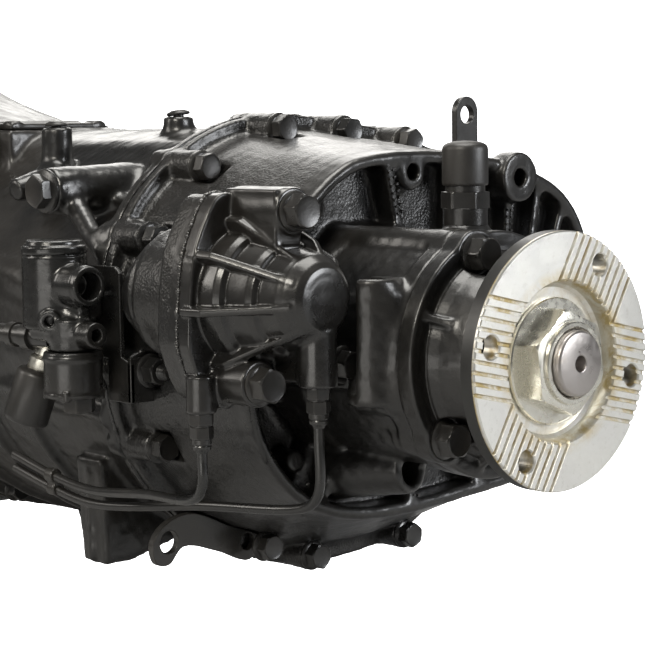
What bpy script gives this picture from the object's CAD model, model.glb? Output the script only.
"""Heavy-truck range-change gearbox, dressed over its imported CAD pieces.

The output shaft lies on the X axis. The output flange face is at X = 0 and +X points to the rear;
the open end of the clutch housing is at X = -920. Z is up. Shapes are modelled in millimetres and
meshed in metres. Castings are signed-distance fields with blended fillets; machined pieces are
turned or prismatic meshes.
"""
import math
from functools import cached_property

import bmesh
import bpy
import numpy as np
import openvdb
from mathutils import Matrix, Vector


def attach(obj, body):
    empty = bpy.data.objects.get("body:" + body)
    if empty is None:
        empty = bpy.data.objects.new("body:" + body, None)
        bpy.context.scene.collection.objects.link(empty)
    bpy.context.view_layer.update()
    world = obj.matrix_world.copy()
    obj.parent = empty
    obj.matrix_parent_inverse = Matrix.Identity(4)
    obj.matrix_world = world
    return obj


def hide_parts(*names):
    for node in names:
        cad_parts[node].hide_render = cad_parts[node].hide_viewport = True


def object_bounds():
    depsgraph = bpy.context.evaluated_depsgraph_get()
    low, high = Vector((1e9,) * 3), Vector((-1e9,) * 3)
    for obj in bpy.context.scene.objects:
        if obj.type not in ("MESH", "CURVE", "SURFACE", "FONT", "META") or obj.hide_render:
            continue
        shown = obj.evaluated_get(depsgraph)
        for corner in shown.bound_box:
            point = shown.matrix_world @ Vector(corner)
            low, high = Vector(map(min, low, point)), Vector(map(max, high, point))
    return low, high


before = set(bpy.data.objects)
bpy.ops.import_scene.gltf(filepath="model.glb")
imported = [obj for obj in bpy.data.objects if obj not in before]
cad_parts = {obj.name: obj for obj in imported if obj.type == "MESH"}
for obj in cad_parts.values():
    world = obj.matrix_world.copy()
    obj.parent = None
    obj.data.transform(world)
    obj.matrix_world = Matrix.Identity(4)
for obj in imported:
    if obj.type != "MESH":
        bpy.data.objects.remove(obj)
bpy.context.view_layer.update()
MM = 0.001

# ---------------------------------------------------------------- shared dimensions
JOINT_X = -340.0        # rear housing meets main case
CASE_FRONT_X = -676.0   # main case meets clutch housing
BELL_X = -920.0         # open front end of the clutch housing
RIM_X = -180.0          # rim of the rear wall
POCKET_X = -212.0       # floor level of the rear wall
NECK_X = -75.0          # rear end of the neck
NECK_R = 84.0
JOINT_BOLT_SEAT_X = -305.9
FRONT_BOLT_SEAT_X = -663.2
REAR, DOWN, UP = (1, 0, 0), (0, 0, -1), (0, 0, 1)

# centres across the box, as (y, z)
AXIS = (0, 0)
CYLINDER = (-128.0, 42.0)
LOWER_BORE = (150 * math.cos(-math.pi / 6), 150 * math.sin(-math.pi / 6))
COVER_PITCH_R = 77.0
COVER_ANGLES = [math.radians(a) for a in (108, 224, 288, 20)]
COVER_BOLTS = [(COVER_PITCH_R * math.cos(a), COVER_PITCH_R * math.sin(a)) for a in COVER_ANGLES]
# seats of the cylinder cover bolts, as (x, y, z)
CYLINDER_BOLTS = ((-128.2, -131, 105), (-141.2, -153, -13))

# centres seen from above, as (x, y)
LOW_PORT, HIGH_PORT = (-179, -174.5), (-114, -124)
LOW_SEAT_Z, HIGH_SEAT_Z = -34, -15
VALVE, BOWL = (-352, -174), (-331, -174)
FRONT_VENT, REAR_VENT = (-508, -60), (-418, 0)
SENSOR = (-92, 0)
LEVER_X, LEVER_Z = -636.0, 152.0

# control points of the outlines, as (y, z); the cylinder's are taken from its own centre
JOINT_CONTROL = [
    (-141, 0), (-137, 60), (-107, 113), (-48, 155), (20, 172), (104, 166), (190, 150),
    (246, 118), (268, 60), (272, -20), (264, -85), (238, -142), (190, -184), (110, -202),
    (20, -194), (-60, -156), (-112, -103), (-135, -52)]
RIM_CONTROL = [
    (-128, 0), (-112, 58), (-74, 104), (-29, 135), (20, 142), (90, 140), (170, 126),
    (220, 100), (246, 55), (252, -15), (240, -72), (208, -108), (160, -124), (100, -130),
    (20, -134), (-40, -128), (-88, -106), (-124, -56)]
CYLINDER_CONTROL = [
    (0, 70), (30, 62), (52, 42), (50, 0), (52, -30), (30, -60), (-10, -68), (-44, -76),
    (-62, -66), (-66, -38), (-65, 0), (-58, 40), (-34, 74)]
EYE_CONTROL = [
    (-104, -176), (-92, -178), (-78, -166), (-40, -176), (-10, -187), (4, -172), (-30, -156),
    (-70, -140), (-96, -146), (-108, -160)]


def spline_point(p0, p1, p2, p3, w):
    """Point at share w of the centripetal Catmull-Rom span from p1 to p2."""
    gaps = ((p0, p1), (p1, p2), (p2, p3))
    d0, d1, d2 = (max(np.linalg.norm(b - a), 1e-9) ** 0.5 for a, b in gaps)
    t1 = ((p1 - p0) / d0 - (p2 - p0) / (d0 + d1) + (p2 - p1) / d1) * d1
    t2 = ((p2 - p1) / d1 - (p3 - p1) / (d1 + d2) + (p3 - p2) / d2) * d1
    return ((2 * p1 - 2 * p2 + t1 + t2) * w**3 + (-3 * p1 + 3 * p2 - 2 * t1 - t2) * w**2
            + t1 * w + p1)


def closed_spline(control, count=200):
    points = np.array(control, float)
    total = len(points)
    out = []
    for i in range(count):
        place = i / count * total
        k = int(place)
        span = [points[(k + j) % total] for j in (-1, 0, 1, 2)]
        out.append(spline_point(*span, place - k))
    return np.array(out)


def open_spline(points, steps):
    ends = [2 * points[0] - points[1]], [2 * points[-1] - points[-2]]
    padded = np.concatenate([ends[0], points, ends[1]])
    out = [spline_point(*padded[i:i + 4], j / steps)
           for i in range(len(points) - 1) for j in range(steps)]
    return np.array(out + [points[-1]])


def inset(outline, depth):
    """Closed outline moved inward by depth."""
    after = np.roll(outline, -1, 0)
    along = after - np.roll(outline, 1, 0)
    along /= np.linalg.norm(along, axis=1)[:, None]
    area = 0.5 * np.sum(outline[:, 0] * after[:, 1] - after[:, 0] * outline[:, 1])
    side = 1 if area > 0 else -1
    return outline + side * depth * np.stack([-along[:, 1], along[:, 0]], 1)


def mix(first, second, share):
    return np.asarray(first) * (1 - share) + np.asarray(second) * share


def on_joint(y, z, depth=10):
    """Point nearest (y, z) on the joint outline inset by depth."""
    line = inset(JOINT, depth)
    return tuple(line[np.argmin(np.hypot(line[:, 0] - y, line[:, 1] - z))])


def pulled_in(y, z):
    """Outline point of the cylinder, drawn towards +Y on its -Y side and more so low down."""
    shift = 8.0 + 12.0 * np.clip((10 - z) / 35, 0, 1)
    return y + shift * np.clip((CYLINDER[0] - 10 - y) / 40, 0, 1), z


JOINT, RIM = closed_spline(JOINT_CONTROL), closed_spline(RIM_CONTROL)
EYE = closed_spline(EYE_CONTROL, 60)
CYLINDER_OUTLINE = np.array([pulled_in(y, z) for y, z in closed_spline(
    [(CYLINDER[0] + y, CYLINDER[1] + z) for y, z in CYLINDER_CONTROL], 90)])
BODY = inset(JOINT, 11)
CHAMBER = inset(BODY, 8)
JOINT_BOLTS = [on_joint(y, z) for y, z in (
    (-126.5, -20), (-123.7, 85), (-69.4, 137.7), (14.8, 161), (83.5, 158), (153, 146.5),
    (212, 125), (250, 75), (262, 0), (258, -70), (225, -140), (150, -185), (44.6, -181.4),
    (-9.7, -171.2), (-118.7, -84.6))]
FRONT_BOLTS = [on_joint(y, z, 11) for y, z in (
    (1, 144), (88.6, 155), (164, 158), (-60, 140), (-118, 70), (235, 110), (-125, -40),
    (258, -60), (200, -170), (100, -195), (-10, -180), (-90, -120), (262, 30))]


# ---------------------------------------------------------------- signed-distance shapes
# A shape is (distance function, low corner, high corner); distances are negative inside.
def smooth_min(first, second, fillet):
    if fillet <= 0:
        return np.minimum(first, second)
    near = np.maximum(fillet - np.abs(first - second), 0) / fillet
    return np.minimum(first, second) - near * near * fillet * 0.25


class Field:
    """A box of space sampled at a regular step, holding the distance to the surface."""

    def __init__(self, low, high, quick_step, full_step):
        self.step = full_step
        self.low = np.array(low, float)
        self.count = (np.ceil((np.array(high, float) - self.low) / self.step)).astype(int) + 1
        self.axes = [(self.low[i] + self.step * np.arange(self.count[i])).astype(np.float32)
                     for i in range(3)]
        self.values = np.full(self.count, 30.0, np.float32)

    def grid(self, window):
        x, y, z = (axis[part] for axis, part in zip(self.axes, window))
        return x[:, None, None], y[None, :, None], z[None, None, :]

    def combine(self, shape, fillet, sign):
        distance, low, high = shape
        pad = fillet + 3 * self.step
        window = []
        for i in range(3):
            first = max(0, math.floor((low[i] - pad - self.low[i]) / self.step))
            last = math.ceil((high[i] + pad - self.low[i]) / self.step) + 1
            window.append(slice(first, max(first, min(self.count[i], last))))
        window = tuple(window)
        if all(part.stop > part.start for part in window):
            found = distance(*self.grid(window)).astype(np.float32)
            self.values[window] = sign * smooth_min(sign * self.values[window], found, fillet)

    def add(self, shape, fillet=0.0):
        self.combine(shape, fillet, 1)

    def cut(self, shape, fillet=0.0):
        self.combine(shape, fillet, -1)

    def keep(self, distance):
        """Keep only the space where distance is negative."""
        found = distance(*self.grid((slice(None),) * 3)).astype(np.float32)
        self.values = np.maximum(self.values, found)


def slab(flat, offset, half, edge):
    """2-D distance carried over |offset| < half, with rounded edges."""
    side, cap = flat + edge, np.abs(offset) - half + edge
    outside = np.sqrt(np.maximum(side, 0) ** 2 + np.maximum(cap, 0) ** 2)
    return np.minimum(np.maximum(side, cap), 0) + outside - edge


def rod(start, end, radius, end_radius=None, edge=0.0):
    """Solid cylinder or cone between two points."""
    start, end = np.array(start, float), np.array(end, float)
    axis = end - start
    length = float(np.linalg.norm(axis))
    axis = axis / length
    end_radius = radius if end_radius is None else end_radius

    def distance(x, y, z):
        x, y, z = x - start[0], y - start[1], z - start[2]
        along = x * axis[0] + y * axis[1] + z * axis[2]
        off = np.sqrt(np.maximum(x * x + y * y + z * z - along * along, 0))
        taper = radius + (end_radius - radius) * np.clip(along / length, 0, 1)
        return slab(off - taper, along - length / 2, length / 2, edge)

    reach = max(radius, end_radius)
    return distance, np.minimum(start, end) - reach, np.maximum(start, end) + reach


def xrod(x0, x1, centre, radius, end_radius=None, edge=0.0):
    """Rod along X about (y, z)."""
    return rod((x0, *centre), (x1, *centre), radius, end_radius, edge)


def zrod(centre, z0, z1, radius, end_radius=None, edge=0.0):
    """Upright rod about (x, y)."""
    return rod((*centre, z0), (*centre, z1), radius, end_radius, edge)


def capsule(start, end, radius, end_radius=None):
    start, end = np.array(start, float), np.array(end, float)
    axis = end - start
    square = float(axis @ axis)
    end_radius = radius if end_radius is None else end_radius

    def distance(x, y, z):
        x, y, z = x - start[0], y - start[1], z - start[2]
        t = np.clip((x * axis[0] + y * axis[1] + z * axis[2]) / square, 0, 1)
        off = np.sqrt((x - t * axis[0]) ** 2 + (y - t * axis[1]) ** 2 + (z - t * axis[2]) ** 2)
        return off - (radius + (end_radius - radius) * t)

    reach = max(radius, end_radius)
    return distance, np.minimum(start, end) - reach, np.maximum(start, end) + reach


def block(low, high, edge=0.0):
    low, high = np.array(low, float), np.array(high, float)
    centre, half = (low + high) / 2, (high - low) / 2
    inner = half - edge

    def distance(x, y, z):
        x, y, z = (np.abs(v - centre[i]) - inner[i] for i, v in enumerate((x, y, z)))
        deepest = np.maximum(np.maximum(x, y), z)
        outside = np.maximum(x, 0) ** 2 + np.maximum(y, 0) ** 2 + np.maximum(z, 0) ** 2
        return np.minimum(deepest, 0) + np.sqrt(outside) - edge

    return distance, centre - half, centre + half


def outline_distance(outline, across, upward):
    """Signed distance to a closed polygon, on a 2-D grid."""
    outline = np.asarray(outline, float)
    across, upward = np.broadcast_arrays(across, upward)
    square = np.full(across.shape, 1e9)
    inside = np.zeros(across.shape, bool)
    for a, b in zip(outline, np.roll(outline, -1, 0)):
        edge = b - a
        u, v = across - a[0], upward - a[1]
        t = np.clip((u * edge[0] + v * edge[1]) / max(edge @ edge, 1e-12), 0, 1)
        square = np.minimum(square, (u - t * edge[0]) ** 2 + (v - t * edge[1]) ** 2)
        crosses = (a[1] > upward) != (b[1] > upward)
        if abs(edge[1]) > 1e-12:
            inside ^= crosses & (across < edge[0] * (upward - a[1]) / edge[1] + a[0])
    return (np.sqrt(square) * np.where(inside, -1, 1)).astype(np.float32)


def prism(outline, x0, x1, edge=0.0):
    """Outline in (y, z) carried along X."""
    outline = np.asarray(outline, float)

    def distance(x, y, z):
        flat = outline_distance(outline, y[0], z[0])[None]
        return slab(flat, x - (x0 + x1) / 2, (x1 - x0) / 2, edge)

    return distance, (x0, *outline.min(0)), (x1, *outline.max(0))


def wall(start, end, half, x0, x1, edge=1.5, lean=0.0):
    """Rib from (y, z) point start to end, standing along X and thicker by lean towards x0."""
    start, end = np.array(start, float), np.array(end, float)
    run = end - start

    def distance(x, y, z):
        y, z = y - start[0], z - start[1]
        t = np.clip((y * run[0] + z * run[1]) / (run @ run), 0, 1)
        off = np.sqrt((y - t * run[0]) ** 2 + (z - t * run[1]) ** 2)
        flat = off - half - lean * (x1 - x)
        return slab(flat, x - (x0 + x1) / 2, (x1 - x0) / 2, edge)

    reach = half + abs(lean) * (x1 - x0)
    low, high = np.minimum(start, end) - reach, np.maximum(start, end) + reach
    return distance, (x0, *low), (x1, *high)


def loft(stations, edge=0.0):
    """Body through (x, outline) stations."""
    levels = [s[0] for s in stations]

    def distance(x, y, z):
        layers = [outline_distance(outline, y[0], z[0]) for _, outline in stations]
        out = np.empty((len(x),) + layers[0].shape, np.float32)
        for i, level in enumerate(x[:, 0, 0]):
            j = int(np.clip(np.searchsorted(levels, level) - 1, 0, len(levels) - 2))
            t = float(np.clip((level - levels[j]) / (levels[j + 1] - levels[j]), 0, 1))
            out[i] = layers[j] * (1 - t) + layers[j + 1] * t
        half = (levels[-1] - levels[0]) / 2
        return slab(out, x - (levels[0] + levels[-1]) / 2, half, edge)

    points = np.concatenate([np.asarray(outline) for _, outline in stations])
    return distance, (levels[0], *points.min(0)), (levels[-1], *points.max(0))


def lathe(outline, centre=AXIS):
    """Closed (x, radius) outline turned about the X-parallel axis through centre."""
    outline = np.asarray(outline, float)
    cy, cz = centre

    def distance(x, y, z):
        return outline_distance(outline, x, np.sqrt((y - cy) ** 2 + (z - cz) ** 2))

    (x0, _), (x1, reach) = outline.min(0), outline.max(0)
    return distance, (x0, cy - reach, cz - reach), (x1, cy + reach, cz + reach)


def fin(outline, centre, degrees, half, edge=1.5):
    """Closed (x, radius) outline as a flat rib at an angle about centre."""
    outline = np.asarray(outline, float)
    cy, cz = centre
    cos, sin = math.cos(math.radians(degrees)), math.sin(math.radians(degrees))

    def distance(x, y, z):
        y, z = y - cy, z - cz
        flat = outline_distance(outline, x, y * cos + z * sin)
        return slab(flat, y * sin - z * cos, half, edge)

    (x0, _), (x1, reach) = outline.min(0), outline.max(0)
    low = (x0, cy + min(0, reach * cos) - half, cz + min(0, reach * sin) - half)
    high = (x1, cy + max(0, reach * cos) + half, cz + max(0, reach * sin) + half)
    return distance, low, high


def minus(shape, tool, fillet=0.0):
    return (lambda *at: -smooth_min(-shape[0](*at), tool[0](*at), fillet)), shape[1], shape[2]


def both(shape, limit):
    return (lambda *at: np.maximum(shape[0](*at), limit[0](*at))), shape[1], shape[2]


# ---------------------------------------------------------------- materials
class Shader:
    """Node tree of one Principled material, with short calls for the nodes used here."""

    def __init__(self, name):
        self.material = bpy.data.materials.new(name)
        self.material.use_nodes = True
        self.tree = self.material.node_tree

    @cached_property
    def place(self):
        return self.node("ShaderNodeTexCoord").outputs["Object"]

    def feed(self, sockets, values):
        """Link or set each input, named by its key."""
        for key, value in values.items():
            socket = sockets[key]
            if isinstance(value, bpy.types.NodeSocket):
                self.tree.links.new(value, socket)
            elif socket.type == "RGBA":
                socket.default_value = (*value, 1)
            else:
                socket.default_value = value

    def node(self, kind, inputs=None, **settings):
        node = self.tree.nodes.new(kind)
        for key, value in settings.items():
            setattr(node, key, value)
        self.feed(node.inputs, inputs or {})
        return node

    def finish(self, inputs):
        self.feed(self.tree.nodes["Principled BSDF"].inputs, inputs)
        return self.material

    def noise(self, scale, detail=4.0, rough=0.55, warp=0.0, vector=None):
        vector = self.place if vector is None else vector
        return self.node("ShaderNodeTexNoise", {
            "Scale": scale, "Detail": detail, "Roughness": rough, "Distortion": warp,
            "Vector": vector}).outputs["Fac"]

    def ramp(self, value, stops):
        node = self.node("ShaderNodeValToRGB", {"Fac": value})
        for element, (position, colour) in zip(node.color_ramp.elements, stops.items()):
            element.position = position
            element.color = (*colour, 1)
        return node.outputs["Color"]

    def remap(self, value, span, to):
        inputs = dict(enumerate((value, *span, *to)))
        return self.node("ShaderNodeMapRange", inputs).outputs[0]

    def math(self, operation, *values):
        inputs = dict(enumerate(values))
        return self.node("ShaderNodeMath", inputs, operation=operation).outputs[0]

    def mix(self, share, first, second):
        inputs = {0: share, 6: first, 7: second}
        return self.node("ShaderNodeMix", inputs, data_type="RGBA").outputs[2]

    def bump(self, height, strength, distance, under=None):
        inputs = {"Strength": strength, "Distance": distance, "Height": height}
        if under is not None:
            inputs["Normal"] = under
        return self.node("ShaderNodeBump", inputs).outputs["Normal"]

    def split(self, vector):
        return self.node("ShaderNodeSeparateXYZ", {0: vector}).outputs


def paint(name, grain=1.0, rough=0.33, shade=0.0065, coat=0.3, pitted=None):
    """Satin black paint: orange peel, cast grain, dust and thin-worn edges.

    pitted is the pair of X positions, in metres, over which rough pitting fades in.
    """
    s = Shader(name)
    broad, medium = s.noise(scale=9.0, detail=3.0), s.noise(scale=60.0, detail=5.0)
    dust = s.ramp(broad, {0.38: (shade, shade, shade * 0.98),
                          0.72: (shade * 2.1, shade * 1.85, shade * 1.55)})
    pointed = s.node("ShaderNodeNewGeometry").outputs["Pointiness"]
    edge = s.remap(pointed, span=(0.53, 0.62), to=(0.0, 0.35))
    worn = s.math("MULTIPLY", edge, s.remap(medium, span=(0.45, 0.6), to=(0.0, 1.0)))
    roughness = s.math("ADD", s.remap(broad, span=(0.3, 0.7), to=(rough - 0.05, rough + 0.09)),
                       s.remap(medium, span=(0.3, 0.7), to=(-0.05, 0.06)))
    peel = s.noise(scale=420.0, detail=2.0)
    fine = s.noise(scale=900.0, detail=4.0, rough=0.7)
    lump = s.noise(scale=130.0, detail=4.0, rough=0.6)
    normal = s.bump(lump, strength=0.30 * grain, distance=0.0012)
    normal = s.bump(peel, strength=0.22, distance=0.0004, under=normal)
    normal = s.bump(fine, strength=0.20 * grain, distance=0.0003, under=normal)
    if pitted:
        mask = s.remap(s.split(s.place)[0], span=pitted, to=(0.0, 1.0))
        cells = s.node("ShaderNodeTexVoronoi", {"Scale": 480.0, "Vector": s.place})
        pits = s.math("ADD", cells.outputs["Distance"],
                      s.noise(scale=250.0, detail=5.0, rough=0.7))
        normal = s.bump(s.math("MULTIPLY", pits, mask), strength=0.42, distance=0.0008,
                        under=normal)
    return s.finish({
        "Base Color": s.mix(worn, dust, (0.05, 0.047, 0.042)), "Roughness": roughness,
        "Specular IOR Level": 0.55, "Coat Weight": coat, "Coat Roughness": 0.16,
        "Normal": normal})


def metal(name, colour, rough, stain=0.0, brush=None, relief=0.15):
    """Bare or plated metal with smudges, and dried oil or brushed tool marks where wanted."""
    s = Shader(name)
    broad, medium = s.noise(scale=22.0), s.noise(scale=160.0)
    smudge = s.remap(broad, span=(0.35, 0.7), to=(0.0, 0.55))
    base = s.mix(smudge, colour, tuple(x * 0.72 for x in colour))
    metallic = 1.0
    if stain:
        blots = s.noise(scale=38.0, detail=6.0, rough=0.65, warp=0.6)
        oil = s.math("MULTIPLY", s.remap(blots, span=(0.56, 0.70), to=(0.0, 1.0)), stain)
        base = s.mix(oil, base, (0.40, 0.31, 0.13))
        metallic = s.remap(oil, span=(0.0, 1.0), to=(1.0, 0.55))
    roughness = s.math("ADD", s.remap(broad, span=(0.3, 0.7), to=(rough - 0.06, rough + 0.08)),
                       s.remap(medium, span=(0.3, 0.7), to=(-0.06, 0.06)))
    if brush:
        stretched = s.node("ShaderNodeMapping", {"Scale": brush, "Vector": s.place}).outputs[0]
        height = s.noise(scale=1.0, detail=3.0, vector=stretched)
    else:
        height = s.noise(scale=700.0, detail=3.0)
    return s.finish({"Base Color": base, "Metallic": metallic, "Roughness": roughness,
                     "Normal": s.bump(height, strength=relief, distance=0.0004)})


def flange_face():
    """Turned face with fine arcs, oil drying towards the recess and teeth, black paint on the rim."""
    s = Shader("machined_face")
    x, y, z = s.split(s.place)
    radius = s.math("SQRT", s.math("ADD", s.math("MULTIPLY", y, y), s.math("MULTIPLY", z, z)))
    polar = s.node("ShaderNodeCombineXYZ", {
        0: s.math("MULTIPLY", radius, 3200.0),                    # arcs per metre of radius
        1: s.math("MULTIPLY", s.math("ARCTAN2", z, y), 3.0)})     # slow change round the face
    arcs = s.noise(scale=1.0, detail=3.0, vector=polar.outputs[0])
    blotch = s.noise(scale=30.0, detail=5.0, rough=0.6, warp=0.5)
    fine = s.noise(scale=210.0, detail=5.0, rough=0.7)
    base = s.mix(s.remap(blotch, span=(0.3, 0.75), to=(0.0, 1.0)),
                 (0.88, 0.87, 0.83), (0.70, 0.69, 0.64))
    base = s.mix(s.remap(fine, span=(0.55, 0.75), to=(0.0, 0.5)), base, (0.50, 0.48, 0.42))

    near_recess = s.remap(radius, span=(0.055, 0.066), to=(1.0, 0.0))
    in_teeth = s.remap(x, span=(-0.0008, -0.0022), to=(0.0, 0.9))
    where = s.math("MAXIMUM", s.math("MULTIPLY", near_recess, 0.85), in_teeth)
    blots = s.noise(scale=62.0, detail=5.0, rough=0.65, warp=0.8)
    oil = s.math("MULTIPLY", where, s.remap(blots, span=(0.40, 0.60), to=(0.12, 1.0)))
    oil = s.math("MULTIPLY", oil, s.remap(x, span=(-0.0100, -0.0055), to=(0.35, 1.0)))

    behind = s.math("MAXIMUM", s.remap(x, span=(-0.0021, -0.0029), to=(0.0, 1.0)), 0.0)
    ragged = s.math("ADD", radius, s.math("MULTIPLY", fine, 0.0016))   # uneven paint edge
    rim = s.math("MULTIPLY", s.remap(ragged, span=(0.0885, 0.0893), to=(0.0, 1.0)), behind)
    black = s.math("MAXIMUM", rim, s.remap(x, span=(-0.0136, -0.0139), to=(0.0, 1.0)))
    colour = s.mix(black, s.mix(oil, base, (0.42, 0.31, 0.10)), (0.018, 0.018, 0.017))
    # painted parts are not metallic, oiled ones only half so
    covered = s.math("MAXIMUM", black, s.math("MULTIPLY", oil, 0.5))
    roughness = s.math("ADD", s.remap(blotch, span=(0.3, 0.7), to=(0.30, 0.42)),
                       s.math("MULTIPLY", oil, 0.1))
    normal = s.bump(arcs, strength=0.16, distance=0.0003)
    return s.finish({
        "Base Color": colour, "Metallic": s.math("SUBTRACT", 1.0, covered),
        "Roughness": roughness,
        "Normal": s.bump(fine, strength=0.14, distance=0.0004, under=normal)})


CAST = paint("cast_black")
CAST_REAR = paint("cast_black_rear", pitted=(-0.1975, -0.2015))
MACHINED = paint("machined_black", grain=0.25, rough=0.30, coat=0.35)
DIE_CAST = paint("die_cast_black", grain=0.35, rough=0.27, coat=0.4)
PLATED = paint("plated_black", grain=0.45, rough=0.30, shade=0.011)
WORN = paint("worn_plate", grain=0.6, rough=0.36, shade=0.020)
SEALANT = paint("sealant", grain=0.3, rough=0.26, shade=0.008, coat=0.5)
PLASTIC = paint("black_plastic", grain=0.1, rough=0.42, shade=0.012, coat=0.0)
CAN_GREY = paint("can_grey", grain=0.1, rough=0.38, shade=0.013, coat=0.15)
RUBBER = paint("seal_black", grain=0.2, rough=0.7, shade=0.01, coat=0.0)
STEEL = metal("gear_steel_m", colour=(0.50, 0.49, 0.47), rough=0.28)
SHAFT = metal("shaft_end", colour=(0.46, 0.43, 0.41), rough=0.34, stain=0.25,
              brush=(2600, 300, 300))
ZINC = metal("zinc_nut", colour=(0.78, 0.76, 0.68), rough=0.26, stain=0.35, relief=0.10)
FACE = flange_face()


# ---------------------------------------------------------------- meshes
def link(name, mesh, material, body="case"):
    obj = bpy.data.objects.new(name, mesh)
    bpy.context.scene.collection.objects.link(obj)
    mesh.materials.append(material)
    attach(obj, body)
    return obj


def waves(points, height, length, seed):
    """Smooth seeded waviness, the way sand-cast skin is never quite true."""
    rng = np.random.default_rng(seed)
    out = np.zeros(len(points))
    for i in range(10):
        ripple = rng.normal(size=3)
        ripple *= 2 * math.pi / (np.linalg.norm(ripple) * length * rng.uniform(0.6, 1.6))
        out += np.sin(points @ ripple + rng.uniform(0, 6.28))
    return height * out / 3.2


def cast(name, field, material, node=None, wave=0.0, seed=1):
    """Mesh of the field's zero surface, with skin waviness of height wave."""
    grid = openvdb.FloatGrid(10.0)
    grid.copyFromArray(np.clip(field.values, -10, 10))
    points, tris, quads = grid.convertToPolygons(isovalue=0.0, adaptivity=0.0)
    points = np.asarray(points, float) * field.step + field.low
    quads = np.asarray(quads, np.int64)[:, ::-1]
    tris = np.asarray(tris, np.int64).reshape(-1, 3)[:, ::-1]
    # light relaxation takes the sampling steps off the surface
    total, count = np.zeros_like(points), np.zeros(len(points))
    for i in range(4):
        j = (i + 1) % 4
        np.add.at(total, quads[:, i], points[quads[:, j]])
        np.add.at(total, quads[:, j], points[quads[:, i]])
        np.add.at(count, quads[:, i], 1)
        np.add.at(count, quads[:, j], 1)
    count[count == 0] = 1
    points = points * 0.5 + 0.5 * total / count[:, None]

    mesh = bpy.data.meshes.new(name)
    mesh.vertices.add(len(points))
    n_quads, n_tris = len(quads), len(tris)
    mesh.loops.add(4 * n_quads + 3 * n_tris)
    mesh.polygons.add(n_quads + n_tris)
    corners = np.concatenate([quads.ravel(), tris.ravel()]).astype(np.int32)
    starts = np.concatenate([np.arange(n_quads) * 4, 4 * n_quads + np.arange(n_tris) * 3])
    mesh.loops.foreach_set("vertex_index", corners)
    mesh.polygons.foreach_set("loop_start", starts.astype(np.int32))
    mesh.vertices.foreach_set("co", (points * MM).ravel())
    mesh.update(calc_edges=True)
    if wave:
        normals = np.zeros(len(points) * 3)
        mesh.vertices.foreach_get("normal", normals)
        lift = waves(points, wave, 38, seed) + waves(points, wave * 0.5, 11, seed + 7)
        points = points + normals.reshape(-1, 3) * lift[:, None]
        mesh.vertices.foreach_set("co", (points * MM).ravel())
    mesh.polygons.foreach_set("use_smooth", np.ones(n_quads + n_tris, bool))
    mesh.update()
    mesh.validate()
    obj = link(name, mesh, material)
    if node:
        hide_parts(node)


def tidy_mesh(name, vertices, faces):
    """Mesh with doubles merged and normals outward."""
    mesh = bpy.data.meshes.new(name)
    mesh.from_pydata([tuple(x * MM for x in p) for p in vertices], [], faces)
    mesh.validate()
    work = bmesh.new()
    work.from_mesh(mesh)
    bmesh.ops.remove_doubles(work, verts=work.verts, dist=1e-7)
    bmesh.ops.recalc_face_normals(work, faces=work.faces)
    work.to_mesh(mesh)
    work.free()
    return mesh


def make(name, shape, material=PLATED, body="case", node=None, sharp=32):
    """Object from (vertices, faces), smooth except at edges over sharp degrees."""
    mesh = tidy_mesh(name, *shape)
    for face in mesh.polygons:
        face.use_smooth = True
    mesh.set_sharp_from_angle(angle=math.radians(sharp))
    obj = link(name, mesh, material, body)
    if node:
        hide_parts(node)
    return obj


def skin(rings, ends="capped"):
    """Quads between successive rings; the ends are capped, open or joined to each other."""
    n, count = len(rings[0]), len(rings)
    faces = []
    for r in range(count if ends == "joined" else count - 1):
        near, far = r * n, (r + 1) % count * n
        for i in range(n):
            j = (i + 1) % n
            faces.append((near + i, near + j, far + j, far + i))
    if ends == "capped":
        faces.append(tuple(reversed(range(n))))
        faces.append(tuple(range((count - 1) * n, count * n)))
    return np.concatenate(rings), faces


def merge(*shapes):
    vertices, faces, n = [], [], 0
    for points, polygons in shapes:
        vertices.append(np.asarray(points))
        faces += [tuple(i + n for i in face) for face in polygons]
        n += len(points)
    return np.concatenate(vertices), faces


def circle_about(axis, segments):
    """Unit axis, ring angles and the unit circle across the axis."""
    axis = np.array(axis, float)
    axis /= np.linalg.norm(axis)
    side = np.cross(axis, (0, 0, 1) if abs(axis[2]) < 0.9 else (0, 1, 0))
    side /= np.linalg.norm(side)
    turn = np.arange(segments) * 2 * math.pi / segments
    circle = np.cos(turn)[:, None] * side + np.sin(turn)[:, None] * np.cross(axis, side)
    return axis, turn, circle


def turned_rings(profile, origin, axis, segments):
    """Rings of a turned piece; profile is (radius, distance along axis)."""
    axis, _, circle = circle_about(axis, segments)
    origin = np.array(origin, float)
    return [origin + axis * t + circle * max(r, 1e-4) for r, t in profile]


def turned(profile, origin, axis, segments=48, ends="capped"):
    return skin(turned_rings(profile, origin, axis, segments), ends)


def hex_rings(across, origin, axis, bottom, top, chamfer=0.12, spin=0.0, segments=96,
              top_radius=None):
    """Hexagon prism whose corners are turned off towards the top, as on a forged bolt head."""
    axis, turn, circle = circle_about(axis, segments)
    origin = np.array(origin, float)
    flat = ((turn - spin + math.pi / 6) % (math.pi / 3)) - math.pi / 6
    hexagon = across / 2 / np.cos(flat)
    corner = across / math.sqrt(3)
    limits = ((0.0, corner), (1 - chamfer * 2, corner), (1 - chamfer * 1.2, corner * 0.985),
              (1 - chamfer * 0.5, corner * 0.95), (0.98, across / 2 * 0.99),
              (1.0, across / 2 * 0.95))
    rings = [origin + axis * (bottom + (top - bottom) * t)
             + circle * np.minimum(hexagon, limit)[:, None] for t, limit in limits]
    if top_radius:
        rings.append(origin + axis * (top - 0.6) + circle * top_radius)
    return rings


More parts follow.
